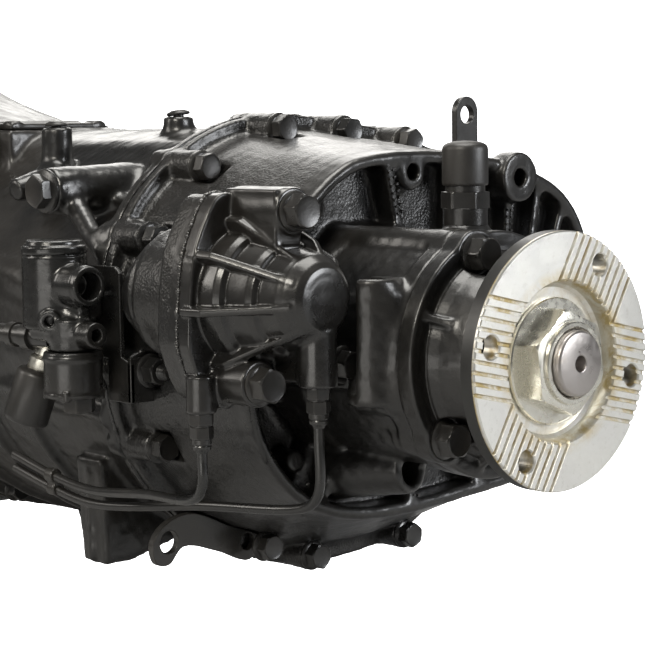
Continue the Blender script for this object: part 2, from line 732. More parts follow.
def hexbolt(name, seat, axis, across, height, flange_r, flange_t, node=None, spin=0.4):
    """Flanged hex bolt seated on seat and facing axis."""
    flange = turned([
        (flange_r - 0.5, -1.0), (flange_r, 0), (flange_r, flange_t * 0.45),
        (flange_r - 0.8, flange_t * 0.8), (across * 0.52, flange_t * 1.25),
        (across * 0.4, flange_t * 1.25)], seat, axis)
    head = skin(hex_rings(across, seat, axis, flange_t * 0.7, flange_t + height, spin=spin,
                          top_radius=across * 0.36))
    make(name, merge(flange, head), node=node)


def hexnut(name, seat, flange_r, flange_t, spin):
    """Flanged nut facing the rear on a projecting threaded stud."""
    across, height, stud_r, stud_length, pitch = 19, 12, 6, 9, 1.5
    top = flange_t + height
    flange = turned([
        (flange_r - 0.5, -1), (flange_r, 0), (flange_r, flange_t * 0.5),
        (flange_r - 0.8, flange_t * 0.8), (across * 0.52, flange_t * 1.2),
        (across * 0.4, flange_t * 1.2)], seat, REAR)
    head = skin(hex_rings(across, seat, REAR, flange_t * 0.7, top, spin=spin))
    stud = [(stud_r - 0.8, 0)]
    t = top - 1
    while t < top + stud_length - 2:
        stud += [(stud_r, t), (stud_r - 0.7, t + pitch / 2)]
        t += pitch
    end = top + stud_length
    stud += [(stud_r - 0.5, end - 1.2), (stud_r - 2.2, end), (0.0, end)]
    make(name, merge(flange, head, turned(stud, seat, REAR, 32)))


def carve(obj, shape):
    """Cut shape out of the object, leaving a plain mesh."""
    mesh = bpy.data.meshes.new("cutter")
    mesh.from_pydata([tuple(x * MM for x in p) for p in shape[0]], [], shape[1])
    work = bmesh.new()
    work.from_mesh(mesh)
    bmesh.ops.remove_doubles(work, verts=work.verts, dist=1e-7)
    bmesh.ops.recalc_face_normals(work, faces=work.faces)
    work.to_mesh(mesh)
    work.free()
    cutter = bpy.data.objects.new("cutter", mesh)
    bpy.context.scene.collection.objects.link(cutter)
    boolean = obj.modifiers.new("cutter", "BOOLEAN")
    boolean.operation, boolean.solver, boolean.object = "DIFFERENCE", "EXACT", cutter
    graph = bpy.context.evaluated_depsgraph_get()
    result = bpy.data.meshes.new_from_object(obj.evaluated_get(graph))
    obj.modifiers.clear()
    obj.data = result
    bpy.data.objects.remove(cutter)
    bpy.data.meshes.remove(mesh)


def bevel_edges(obj, width, segments=2, degrees=40):
    bevel = obj.modifiers.new("edge", "BEVEL")
    bevel.width, bevel.segments = width * MM, segments
    bevel.limit_method, bevel.angle_limit = "ANGLE", math.radians(degrees)
    return bevel


def flat_piece(outline, low, high, axis=0):
    """Prism between low and high on the given axis; outline holds the other two coordinates."""
    return skin([np.insert(np.array(outline, float), axis, t, axis=1) for t in (low, high)])


def plate(name, outline, holes, x0, x1, material=PLATED, node=None, edge=0.8):
    """Flat plate cut from a (y, z) outline, with round holes given as (y, z, radius)."""
    obj = make(name, flat_piece(outline, x0, x1), material, node=node, sharp=35)
    middle = (x0 + x1) / 2
    carve(obj, merge(*[turned([(r, -30), (r, 30)], (middle, y, z), REAR, 40)
                       for y, z, r in holes]))
    obj.data.set_sharp_from_angle(angle=math.radians(35))
    bevel_edges(obj, edge, segments=3)


# ---------------------------------------------------------------- rear housing
# ribs of the rear wall: (y, z) start, (y, z) end, half thickness, x of the crest
RIBS = [
    ((11, 140), (26, 78), 4.2, -181), ((85, 134), (84, 70), 3.2, -184),
    ((150, 130), (148, 60), 3.6, -184), ((188, 124), (176, 60), 3.8, -184),
    ((222, 110), (196, 40), 3.6, -184), ((120, -8), (260, -12), 4, -183),
    ((75, -50), (215, -104), 4, -183), ((66, -60), (128, -140), 4, -183),
    ((36, -86), (34, -146), 4.4, -181), ((-14, -74), (-66, -118), 4.2, -184),
    ((-40, -56), (-120, -92), 3.6, -192)]
# round islands left standing in the rear wall: (y, z), radius
ISLANDS = [(AXIS, NECK_R + 1), (CYLINDER, 68), ((37, 127), 14), ((152, 120), 19), ((-12, -88), 22)]
NECK_END = NECK_X + 0.2

body = Field((-345, -205, -216), (-66, 284, 184), 3.4, 1.7)
body.add(loft([(JOINT_X + 0.35, BODY), (-300, mix(BODY, RIM, 0.22)),
               (-220, mix(BODY, RIM, 0.78)), (RIM_X, RIM)], 4.0))
body.add(prism(JOINT, JOINT_X + 0.35, -330.5, 1.5), 7)
# swelling that carries the range cylinder
for start, end, radius, end_radius in (((-300, -112, 36), (-286, -119, 40), 22, 34),
                                       ((-288, -119, 40), (-252, *CYLINDER), 34, 46),
                                       ((-256, *CYLINDER), (-206, *CYLINDER), 46, 48)):
    body.add(rod(start, end, radius, end_radius, 3), 14)
# recessed rear wall
pocket = prism(inset(RIM, 9), -203, RIM_X + 30)
for centre, radius in ISLANDS:
    pocket = minus(pocket, xrod(POCKET_X - 20, RIM_X + 60, centre, radius), 9)
for start, end, half, crest in RIBS:
    pocket = minus(pocket, wall(start, end, half, POCKET_X - 20, crest, lean=0.05), 7)
body.cut(pocket, 5)
body.add(xrod(RIM_X - 14, RIM_X + 6, (152, 120), 20, edge=2), 3)
# deeper low pocket and two pads
body.cut(prism([(-104, -40), (-62, -40), (-44, -58), (-72, -104), (-92, -88)], -222, -190, 3), 4)
body.add(xrod(-226, -200, (-68, -84), 9.5, 8.5, 3), 2)
body.add(xrod(-218, -200, (-45, 104), 9, 7.5, 3.5), 3)
# neck with its collars and cover bolt lobes
body.add(xrod(-230, NECK_END, AXIS, NECK_R, edge=1.0), 12)
body.add(xrod(POCKET_X, -198, AXIS, NECK_R + 5, NECK_R + 1, 3), 5)
body.add(xrod(-90, NECK_END, AXIS, 87.5, edge=1.2), 2.5)
body.add(xrod(POCKET_X, NECK_X - 2, (-24, 75), 14.5, 14, 1.0), 5)
for centre in COVER_BOLTS:
    body.add(xrod(NECK_X - 26, NECK_END, centre, 13, 15, 1.0), 5)
# upright boss, stud boss and low drilled boss
body.add(zrod((-100, -84), -30, 58, 19.5, 18, 2.5), 7)
body.add(block((-122, -86, -36), (-80, -50, 50), 4), 8)
body.cut(capsule((-104, -87, 62), (-96, -85, 62), 9.5), 1.5)
body.add(xrod(-214, -128, (-88, -4), 19, 17, 3), 8)
body.add(rod((-214, -34, -94), (-129, -19, -87), 25, 18.5, 1.2), 7)
body.cut(rod((-160, -25, -90), (-110, -15, -86), 11.5), 0.8)
# plate face of the range cylinder, clear of the neck
clear = xrod(-214, -60, AXIS, NECK_R + 2.5)
face = minus(prism(mix(CYLINDER_OUTLINE, CYLINDER, 0.02), -214, -189.6, 1.5), clear)
body.add(both(face, prism(CYLINDER_OUTLINE, -230, -189.6)), 5)
body.cut(prism(mix(CYLINDER_OUTLINE, CYLINDER, -0.03), -189.6, -100))
body.add(xrod(-225, NECK_END, AXIS, NECK_R, edge=1.0), 2)
# bolt scallops and bosses round the joint, room for the lower lifting eye
for centre in JOINT_BOLTS:
    body.cut(xrod(-305.6, -286, centre, 13.8, edge=2), 2)
    body.add(xrod(-339.6, JOINT_BOLT_SEAT_X, centre, 12.5, edge=1.0), 4)
body.cut(prism(inset(EYE, -1.0), -330.9, -300), 0.5)
body.cut(xrod(-305.6, -266, JOINT_BOLTS[1], 15, edge=4), 3)
# inner chamber, leaving metal round the joint bolts
chamber = loft([(-360, CHAMBER), (-226, inset(mix(BODY, RIM, 0.75), 8))], 6)
for centre in JOINT_BOLTS:
    chamber = minus(chamber, xrod(-308, -283, centre, 19.5), 4)
body.cut(chamber)
body.cut(lathe([(-312, 0), (-279, 0), (-279, 113.8), (-312, 113.8)]))
# bores: x0, x1, centre, radius
for bore in ((-232, -120, AXIS, 50), (-122, NECK_X + 6, AXIS, 60.35), (-256, -180, CYLINDER, 40),
             (-275, -250, CYLINDER, 9.6), (-296, -264, CYLINDER, 24)):
    body.cut(xrod(*bore))
for centre, radius in (((37, 127), 6), ((152, 120), 7)):
    body.cut(xrod(RIM_X - 30, RIM_X + 30, centre, radius), 1.0)
for centre in COVER_BOLTS:
    body.cut(xrod(NECK_X - 16, NECK_X + 6, centre, 7.35))
for _, *centre in CYLINDER_BOLTS:
    body.cut(xrod(POCKET_X, RIM_X, centre, 7.35))
# speed sensor boss
body.add(zrod(SENSOR, 72, 92, 17, 16, 1.0), 6)
body.cut(xrod(-122, NECK_X + 6, AXIS, 60.35))
body.cut(zrod(SENSOR, 55, 96, 11.4))
cast("rear_housing_cast", body, CAST_REAR, node="rear_housing", wave=0.22, seed=3)

# ---------------------------------------------------------------- output bearing cover
body = Field((-80, -98, -98), (-20, 98, 98), 2.0, 1.0)
body.add(xrod(-74.65, -60.5, AXIS, 88, edge=2.0))
for centre in COVER_BOLTS:
    body.add(xrod(-74.65, -60.0, centre, 16.5, edge=1.5), 6)
body.add(lathe([(-68, 0), (-68, 76), (-59, 74), (-52, 70.5), (-44, 68.5), (-36, 66), (-29, 63),
                (-25.2, 60), (-25.0, 0)]), 4)
body.cut(lathe([(-60.5, 73.5), (-60.5, 78.5), (-56, 82), (-50, 82), (-50, 78)]), 1.5)
for centre in COVER_BOLTS:
    body.cut(xrod(-59.9, -10, centre, 16.0, edge=2), 2.0)
for angle in (64, 156, 256, 338):
    body.add(fin([(-66, 60), (-66, 84), (-60, 82), (-46, 70), (-40, 60)],
                 AXIS, angle, 2.4, 1.2), 4)
body.cut(lathe([(-80, 0), (-80, 56), (-50, 56), (-50, 54.4), (-31.5, 54.4), (-31.5, 56),
                (-20, 56), (-20, 0)]))
for centre in COVER_BOLTS:
    body.cut(xrod(-80, -50, centre, 7.35))
cast("bearing_cover_cast", body, CAST, node="output_bearing_cover", wave=0.14, seed=5)

# ---------------------------------------------------------------- range cylinder cover
# Stepped, ribbed dome; profiles are (x, radius).
DOME = [(-184, 0), (-184, 51.5), (-161, 50), (-156.5, 47.5), (-155, 43.5), (-138, 40.5),
        (-133.5, 38.5), (-132, 34.5), (-117, 31.5), (-111, 27), (-105, 21), (-102.2, 14),
        (-101.8, 0)]
CROWN = [(-130, 0), (-130, 34), (-112, 30), (-105, 25), (-102.0, 21.5), (-101.4, 18),
         (-101.2, 0)]
WIDE_FIN = [(-184, 8), (-184, 61), (-163, 59.5), (-155, 55), (-118, 33), (-108, 27), (-103, 8)]
NARROW_FIN = [(-184, 8), (-184, 58), (-150, 52), (-126, 43), (-108, 26), (-103, 8)]
WIDE_FINS = ((147, 2.9), (187, 2.9), (230, 2.9), (264, 2.6), (112, 2.6))    # degrees, half
NARROW_FINS = ((70, 3.0), (38, 3.0), (318, 2.8))
cy, cz = CYLINDER
dome_centre = (cy, cz + 2)

body = Field((-193, -206, -50), (-97, -48, 126), 2.0, 0.85)
base = minus(prism(CYLINDER_OUTLINE, -189.65, -176.5, 1.6), clear, 1.0)
body.add(both(base, prism(CYLINDER_OUTLINE, -230, -100)))
body.add(lathe(DOME, dome_centre), 1.6)
body.add(lathe(CROWN, (cy + 1, cz + 4)), 3)
for profile, fins in ((WIDE_FIN, WIDE_FINS), (NARROW_FIN, NARROW_FINS)):
    for angle, half in fins:
        body.add(fin(profile, dome_centre, angle, half), 1.6)
for x, *centre in CYLINDER_BOLTS:
    body.add(xrod(-183, x, centre, 16.2, edge=1.2), 3)
body.add(block((-184, -146, 82), (-131, -122, 120.5), 2), 3)
body.add(block((-184, -152, -28), (-145, -134, 10), 2), 3)
body.add(block((-188, -178, -31), (-171, -150, -14), 2.5), 4)
body.add(zrod(HIGH_PORT, HIGH_SEAT_Z, 24, 13.5, 13, 1.0), 3)
body.add(block((-184, -134, -13), (-114, -114, 16), 4), 5)
body.add(zrod(LOW_PORT, LOW_SEAT_Z, -8, 10.5, 10.5, 1.0), 3)
# stay clear of the neck and rearward of the cover's seat
body.keep(lambda x, y, z: np.maximum(NECK_R + 2.5 - np.sqrt(y * y + z * z), -190 - x))
body.keep(lambda x, y, z: -189.65 - x)
body.cut(lathe([(-195, 0), (-195, 36.2), (-150, 33.4), (-124, 22), (-119, 0)], CYLINDER))
for _, *centre in CYLINDER_BOLTS:
    body.cut(xrod(-200, -110, centre, 7.35))
body.cut(zrod(HIGH_PORT, -20, 14, 5), 0.5)
body.cut(zrod(LOW_PORT, -40, -20, 5), 0.5)
cast("range_cover_cast", body, DIE_CAST, node="range_cylinder_cover", wave=0.08, seed=7)

# ---------------------------------------------------------------- air valve body
vx, vy = VALVE
bx, by = BOWL
body = Field((-386, -210, -8), (-294, -144, 86), 2.0, 0.8)
body.add(zrod(VALVE, 14, 69, 24.6, edge=1.5))
body.add(zrod(VALVE, 69.6, 76, 25, edge=1.2), 0.6)
body.add(zrod(VALVE, 75, 80, 22.5, 21.5, 1.0), 1)
body.add(zrod(BOWL, -2, 22, 17, 18, 1.5), 4)
body.add(block((-363, -192, 5), (-329, -156, 26), 4), 5)
body.add(rod((vx, vy, 47), (-312, vy, 47), 16.5, 15.5, 1.0), 3)
body.add(rod((-314, vy, 47), (-307, vy, 47), 15.2, 14.6, 1.4), 1)
body.add(rod((-341, vy, 11), (-300, vy, 11), 10.5, 9.6, 1.5), 3)
body.add(block((-349, -170, 20), (-327, -148.4, 38), 2.5), 4)
body.add(rod((vx, vy, 21), (-332, -194, 21), 8.6, 8.0, 1.0), 2)
body.add(block((-339, -179, 16), (-314, -169, 42), 3), 4)
body.cut(rod((-325, vy, 47), (-294, vy, 47), 9.6, 11), 0.8)
body.cut(rod((-312, vy, 11), (-294, vy, 11), 4.6, 4.8), 0.4)
body.cut(rod((-338, -188, 21), (-327, -199, 21), 3.8), 0.4)
body.add(zrod(BOWL, 20, 30, 12, 7, 2), 6)
cast("air_valve_cast", body, PLATED, node="air_regulator_body", wave=0.06, seed=11)

# filter bowl below it, with two hoops, four feet and an off-centre hexagon
body = Field((-357, -200, -44), (-305, -148, 1), 2.0, 0.8)
body.add(zrod(BOWL, -37, -2.35, 22, edge=1.6))
body.add(zrod(BOWL, -9, -5.5, 22.7, edge=0.8), 0.6)
body.add(zrod(BOWL, -35.5, -33, 22.6, edge=0.8), 0.6)
for angle in (40, 130, 220, 310):
    foot = (bx + 21 * math.cos(math.radians(angle)), by + 21 * math.sin(math.radians(angle)))
    body.add(zrod(foot, -38.5, -31, 2.8, edge=0.6), 1)
cast("filter_bowl_cast", body, PLATED, node="air_filter_bowl", wave=0.03, seed=12)
make("filter_bowl_hexagon", skin(hex_rings(21.6, (-324, by, -36.5), DOWN, 0, 11.5, spin=0.3)))


# ---------------------------------------------------------------- main case
def shoulder(depth, x0, x1, edge=0.0):
    """Space beyond a sloping plane at the given depth, on the upper -Y corner."""
    corners = ((-90, 0), (100, 0), (100, 140), (-90, 140))    # along the slope, beyond it
    return prism([(0.7 * t - 0.714 * (depth + h), 0.714 * t + 0.7 * (depth + h))
                  for t, h in corners], x0, x1, edge)


FOOT = [(-112, -100), (-46, -100), (-24, -172), (-82, -186), (-107, -186)]
body = Field((-682, -205, -214), (-333, 288, 190), 4.0, 2.1)
body.add(loft([(CASE_FRONT_X + 0.35, BODY), (JOINT_X, BODY)], 0.5))
body.cut(shoulder(125.6, -662, -352, 3), 4)
body.add(prism(JOINT, -350, JOINT_X, 1.5), 6)
body.add(prism(inset(JOINT, 2), CASE_FRONT_X + 0.35, -663, 1.5), 6)
# belts round the underside
for x in (-470, -540, -610):
    body.add(both(prism(inset(JOINT, 4.5), x - 4, x + 4, 2),
                  block((x - 20, -300, -300), (x + 20, 300, -55))), 7)
for centre in JOINT_BOLTS:
    body.add(xrod(-358, JOINT_X, centre, 12.5, 13, 2), 4)
# vent posts, side plug boss and the webs between them
body.add(zrod(FRONT_VENT, 90, 164, 14.5, 13, 1.0), 7)
body.add(zrod(REAR_VENT, 130, 172, 14, 12.4, 1.2), 9)
body.add(rod((-419, -50, 114), (-419, -133, 114), 21, 18, 1.2), 7)
body.add(rod((-508, -60, 120), (-508, -104, 112), 15, 9, 2), 8)
body.add(capsule((-416, -112, 108), (-352, -131, 70), 10, 7), 9)
body.add(capsule((-508, -66, 124), (-424, -96, 118), 9), 9)
body.add(capsule((-508, -60, 116), (-352, -84, 98), 6), 8)
body.add(block((-652, -44, 120), (-600, -30, 158), 4), 6)
body.add(capsule((-560, -112, 60), (-352, -138, 20), 5), 14)
body.add(capsule((-640, -112, -40), (-352, -130, -60), 4), 14)
# tower under the top cover, with the lever shaft boss
body.add(block((-662, -50, 118), (-594, 62, 162), 2), 8)
body.add(rod((LEVER_X, -59, LEVER_Z), (LEVER_X, -20, LEVER_Z), 15, 17, 1.5), 6)
# foot with its web, drain boss
body.add(loft([(-419.8, FOOT), (-386.2, FOOT)], 2.5), 8)
body.add(block((-406, -112, -184), (-400, -100, -110), 2.5), 5)
body.add(zrod((-560, 20), -196, -180, 22, 26, 1.5), 6)
# chamber, its rear wall bosses and the bores
body.cut(minus(loft([(-700, CHAMBER), (-363, CHAMBER)]), shoulder(117.6, -670, -350)))
for centre, radius in ((AXIS, 66), (LOWER_BORE, 50), ((89.6, -108), 24)):
    body.add(xrod(-366, -349, centre, radius))
body.cut(xrod(-380, -330, AXIS, 52.35))
body.cut(xrod(-380, -345.6, LOWER_BORE, 38.35))
body.cut(xrod(-350, -330, LOWER_BORE, 24))
body.cut(block((-656, -40, 126), (-606, 50, 175)))
body.cut(rod((LEVER_X, -80, LEVER_Z), (LEVER_X, -10, LEVER_Z), 8.5))
body.cut(zrod(REAR_VENT, 150, 180, 5))
body.cut(zrod(FRONT_VENT, 148, 180, 5))
body.cut(rod((-419, -118, 114), (-419, -140, 114), 8))
cast("main_case_cast", body, CAST, node="main_case", wave=0.35, seed=2)


# ---------------------------------------------------------------- clutch housing
def around(radius):
    """Circle sampled at the same bearings as the body outline, for lofting."""
    angle = np.arctan2(BODY[:, 1] + 15, BODY[:, 0] - 64)
    return np.stack([radius * np.cos(angle), radius * np.sin(angle)], 1)


RIM_PITCH_R = 233.35
RIM_HOLES = [(RIM_PITCH_R * math.cos(math.radians(30 * i)),
              RIM_PITCH_R * math.sin(math.radians(30 * i))) for i in range(12)]
body = Field((-926, -252, -252), (-646, 290, 252), 5.0, 2.8)
body.add(loft([(-914, around(235)), (-860, around(231)), (-780, mix(around(226), BODY, 0.5)),
               (-712, mix(around(226), BODY, 0.9)), (CASE_FRONT_X, BODY)], 1.0))
body.add(xrod(BELL_X, -906, AXIS, 244.5, edge=1.0), 8)
body.add(prism(inset(JOINT, 2), -689, CASE_FRONT_X, 1.5), 7)
for i, centre in enumerate(RIM_HOLES):
    body.add(xrod(BELL_X, -892, centre, 10.5, 9, 1.0), 7)
    angle = math.radians(30 * i + 15)
    ends = [(r * math.cos(angle), r * math.sin(angle)) for r in (180, 232)]
    body.add(wall(*ends, 3.2, -912, -845, 2), 9)
body.cut(loft([(-940, around(223.85)), (-860, around(221.85)),
               (-780, mix(around(217), CHAMBER, 0.5)), (-712, mix(around(217), CHAMBER, 0.9)),
               (-690, CHAMBER)]))
body.cut(xrod(-940, -913, AXIS, 223.85))
body.add(xrod(-689, -652, AXIS, 68, edge=1), 4)
body.add(xrod(-690, -668, LOWER_BORE, 48), 4)
# bores: x0, x1, centre, radius
for bore in ((-688, -640, AXIS, 55.35), (-700, -640, AXIS, 33),
             (-688, -640, LOWER_BORE, 38.35), (-700, -640, LOWER_BORE, 25.5)):
    body.cut(xrod(*bore))
for centre in RIM_HOLES:
    body.cut(xrod(-930, -880, centre, 5.5))
cast("clutch_housing_cast", body, CAST, node="clutch_housing", wave=0.35, seed=9)

# ---------------------------------------------------------------- top shift cover
TOP_SEAT_Z = 162.35
TOP_SCREWS = [(x, y) for x in (-650, -606) for y in (-38, 50)]
body = Field((-664, -52, 134), (-592, 64, 174), 2.0, 1.0)
body.add(block((-658, -46, TOP_SEAT_Z), (-598, 58, 168), 2))
body.add(block((-648, -28, 160), (-612, 40, 170), 2.5), 3)
body.add(block((-648, 14, 139), (-624, 30, 165), 2), 3)
for centre in TOP_SCREWS:
    body.add(zrod(centre, 163, 169.5, 8.5, 8, 1.0), 2)
# below the seat only the tongue near Y = 22 stays
body.keep(lambda x, y, z: np.where((z < TOP_SEAT_Z) & (np.abs(y - 22) > 9),
                                   TOP_SEAT_Z - z, -1.0))
body.cut(block((-650, -14, 100), (-622, 13.5, 163.5)))
body.cut(rod((LEVER_X, 5, LEVER_Z), (LEVER_X, 26, LEVER_Z), 8.6))
body.cut(rod((LEVER_X, -62, LEVER_Z), (LEVER_X, -18, LEVER_Z), 15.6))
cast("top_cover_cast", body, CAST, node="top_shift_cover", wave=0.1, seed=13)

# ---------------------------------------------------------------- output flange
ORIGIN = (0, 0, 0)
FLANGE = [(30.6, -70), (41, -70), (42, -69), (42, -34), (45, -26), (52, -19), (60, -14.6),
          (64, -14), (88.4, -14), (90, -12.6), (90, -0.9), (89.1, 0), (57, 0), (56, -1.0),
          (53.5, -11), (51, -13), (30.6, -13)]
RECESS_R = 53.5
HOLE_DIRECTIONS = [math.radians(a) for a in (-12.5, 59.2)]
TOOTH_PITCH = 7.3
# groove section: offset across the groove, x
GROOVE = [(-1.75, 0.4), (-1.55, -0.1), (-0.95, -2.3), (0.95, -2.3), (1.55, -0.1), (1.75, 0.4)]

flange = make("output_flange_body", turned(FLANGE, ORIGIN, REAR, 192, "joined"), FACE,
              "output", "output_flange", sharp=30)
# crossed bands of radial-running serrations, each parallel to a line of holes
for angle in HOLE_DIRECTIONS:
    outward = np.array([0, math.cos(angle), math.sin(angle)])
    across = np.array([0, -outward[2], outward[1]])
    grooves = []
    for k in range(10):
        offset = (k - 4.5) * TOOTH_PITCH
        inner = math.sqrt(max(RECESS_R**2 - offset * offset, 1)) - 1
        for side in (1, -1):
            grooves.append(skin([np.array([
                outward * side * reach + across * (offset + w) + np.array([x, 0, 0])
                for w, x in GROOVE]) for reach in (inner, 96)]))
    carve(flange, merge(*grooves))
carve(flange, merge(*[
    turned([(8, -20), (8, -1.0), (9.4, 0.6)],
           (0, side * 75 * math.cos(angle), side * 75 * math.sin(angle)), REAR)
    for angle in HOLE_DIRECTIONS for side in (1, -1)]))
flange.data.set_sharp_from_angle(angle=math.radians(28))
bevel_edges(flange, 0.28, degrees=35).use_clamp_overlap = True

# ---------------------------------------------------------------- output nut and shaft
NUT_BORE_R = 23.35
NUT_TOP = [(28.8, 7.0), (28.3, 9.4), (27.6, 10.0), (25.0, 10.0), (24.0, 9.0), (NUT_BORE_R, 8.0),
           (NUT_BORE_R, -8.9)]
WASHER = [(NUT_BORE_R, -12.6), (43.6, -12.6), (44, -12), (44, -9.6), (43.2, -8.8), (33, -8.6),
          (NUT_BORE_R, -8.6), (NUT_BORE_R, -12.6)]
nut = skin(turned_rings([(NUT_BORE_R, -8.9)], ORIGIN, REAR, 192)
           + hex_rings(65, ORIGIN, REAR, -8.9, 7.0, chamfer=0.10, spin=math.radians(8),
                       segments=192)
           + turned_rings(NUT_TOP, ORIGIN, REAR, 192), "open")
make("output_nut_body", merge(nut, turned(WASHER, ORIGIN, REAR, 128, "open")), ZINC,
     "output", "output_nut", sharp=24)

# planet carrier, shaft and centre hole in one profile; four pins stand forward of the carrier
SHAFT_PROFILE = [
    (0, -244), (85, -244), (86, -243), (86, -230.5), (85, -229.5), (46, -228.2), (44, -226.5),
    (40, -123), (39, -122), (32.3, -121.8), (32.3, -96.2), (30, -95.8), (30, -13.6),
    (22.9, -13.2), (22.9, 12.6), (22.4, 13.8), (21.4, 14.7), (20.6, 15.0), (6.4, 15.0),
    (5.7, 14.6), (5.3, 13.2), (3.1, 0.4), (0.0, 0.0)]
pins = [turned([(0, -303), (10.2, -303), (11, -302.2), (11, -243)],
               (0, 68 * math.cos(math.radians(a)), 68 * math.sin(math.radians(a))), REAR)
        for a in (45, 135, 225, 315)]
make("output_shaft_turned", merge(turned(SHAFT_PROFILE, ORIGIN, REAR, 144, "open"), *pins),
     SHAFT, "output", "output_shaft", sharp=28)

# ---------------------------------------------------------------- bolts, studs and nuts
for i, centre in enumerate(JOINT_BOLTS):
    if i < 2:
        hexnut(f"joint_stud_nut_{i}", (-294.5 if i == 0 else JOINT_BOLT_SEAT_X, *centre),
               13, 2.6, spin=0.2 + 0.37 * i)
    else:
        hexbolt(f"joint_bolt_{i}", (JOINT_BOLT_SEAT_X, *centre), REAR, 19, 10, 12.5, 2.4,
                spin=0.37 * i)
for i, centre in enumerate(COVER_BOLTS):
    hexbolt(f"bearing_cover_bolt_{i}", (-60.2, *centre), REAR, 22, 12, 14, 2.6,
            node="bearing_cover_bolt" if i == 0 else None, spin=0.5 + i)
for i, seat in enumerate(CYLINDER_BOLTS):
    hexbolt(f"cylinder_cover_bolt_{i}", seat, REAR, 22, 12, 14.2, 2.4,
            node="cylinder_cover_bolt" if i == 0 else None, spin=0.25 + i)
hexbolt("neck_stud_bolt", (-128.2, -88, -4), REAR, 19, 10, 13.5, 2.6, spin=0.3)
for i, centre in enumerate(FRONT_BOLTS):
    seat = (FRONT_BOLT_SEAT_X, *centre)
    if i in (1, 2):
        hexnut(f"front_stud_nut_{i}", seat, 12.5, 2.4, spin=0.3 * i)
    else:
        hexbolt(f"front_bolt_{i}", seat, REAR, 19, 10, 12.5, 2.4, spin=0.3 * i)
for i, centre in enumerate(TOP_SCREWS[:1] + TOP_SCREWS[1:]):
    make(f"top_cover_screw_{i}", turned([(7.2, -4), (7.2, 0.2), (6.6, 0.8), (3.6, 0.9),
                                         (3.2, -1.6), (0, -1.6)], (*centre, 169.2), UP, 40))
# the drain plug is fitted only where the box reaches low enough to hold it
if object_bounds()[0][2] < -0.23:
    hexbolt("drain_plug", (-560, 20, -195.8), DOWN, 24, 8, 17, 2.2, spin=0.2)
hexbolt("side_plug_body", (-419, -133.2, 114), (0, -1, 0), 24, 9, 17.5, 3.4,
        node="side_plug", spin=0.12)


# ---------------------------------------------------------------- pipes and sealant
def sweep(name, path, radius, material, node=None, segments=20, steps=12, closed=False,
          wobble=0.0, seed=0):
    """Round bar along a path; wobble gives an irregular bead. Open paths are splined."""
    path = np.array(path, float)
    centres = path if closed else open_spline(path, steps)
    count = len(centres)
    if closed:
        along = np.roll(centres, -1, 0) - np.roll(centres, 1, 0)
    else:
        along = np.gradient(centres, axis=0)
    along /= np.linalg.norm(along, axis=1)[:, None]
    guide = np.array((1.0, 0, 0) if closed else (0.0, 0, 1))
    if not closed and abs(along[0] @ guide) > 0.9:
        guide = np.array((0.0, 1, 0))
    side = np.cross(along[0], guide)
    side /= np.linalg.norm(side)
    sides = []
    for tangent in along:
        side = side - tangent * (side @ tangent)
        side /= np.linalg.norm(side)
        sides.append(side)
    sides = np.array(sides)
    others = np.cross(along, sides)
    radii = np.full(count, radius, float)
    if wobble:
        rng = np.random.default_rng(seed)
        slow = np.convolve(rng.normal(size=count + 6), np.ones(7) / 7, "valid") * 2.2
        fast = np.convolve(rng.normal(size=count + 4), np.ones(5) / 5, "valid")
        radii = radius * np.clip(1 + wobble * slow + wobble * 0.8 * fast, 0.25, 2.2)
        centres = centres + sides * (rng.normal(size=count) * radius * 0.12)[:, None]
    turn = np.arange(segments) * 2 * math.pi / segments
    cos, sin = np.cos(turn)[:, None], np.sin(turn)[:, None]
    rings = [centres[i] + (cos * sides[i] + sin * others[i]) * radii[i] for i in range(count)]
    make(name, skin(rings, "joined" if closed else "capped"), material, node=node, sharp=60)


LOW_PIPE = [
    (*LOW_PORT, -50), (*LOW_PORT, -66), (*LOW_PORT, -82), (-184, -173.5, -92),
    (-196, -172, -98), (-260, -160, -104), (-345, -151, -113), (-400, -149, -108),
    (-452, -148, -98)]
HIGH_PIPE = [
    (*HIGH_PORT, -31), (*HIGH_PORT, -50), (*HIGH_PORT, -86), (-120, -124, -96),
    (-132, -125, -102), (-230, -134, -112), (-345, -147, -124.5), (-400, -147, -119),
    (-452, -147, -109)]
sweep("low_range_pipe", LOW_PIPE, 3.6, MACHINED, node="air_pipe_low_range")
sweep("high_range_pipe", HIGH_PIPE, 3.6, MACHINED, node="air_pipe_high_range")
for range_name, port, seat_z in (("low", LOW_PORT, LOW_SEAT_Z), ("high", HIGH_PORT, HIGH_SEAT_Z)):
    seat = (*port, seat_z)
    make(f"{range_name}_range_union", merge(
        turned([(4.2, -7), (4.2, 0), (8.2, 0), (8.2, 1.4), (6.5, 1.6)], seat, DOWN, 40),
        skin(hex_rings(15.8, seat, DOWN, 0.8, 8.6, spin=0.3)),
        turned([(7.4, 8.3), (7.4, 9.4), (8.0, 9.8)], seat, DOWN, 40),
        skin(hex_rings(14.6, seat, DOWN, 9.4, 18.5, spin=0.6)),
        turned([(7.0, 18.2), (7.0, 21.5), (6.2, 22.6), (6.6, 23.4), (6.4, 25.4), (4.6, 27.0),
                (3.9, 28.5)], seat, DOWN, 40)), node=f"air_fitting_{range_name}_range")


def bead(name, path, radius, seed, closed=True, wobble=0.35):
    """Squeezed-out sealant."""
    sweep(name, path, radius, SEALANT, segments=10, steps=4, closed=closed, wobble=wobble,
          seed=seed)


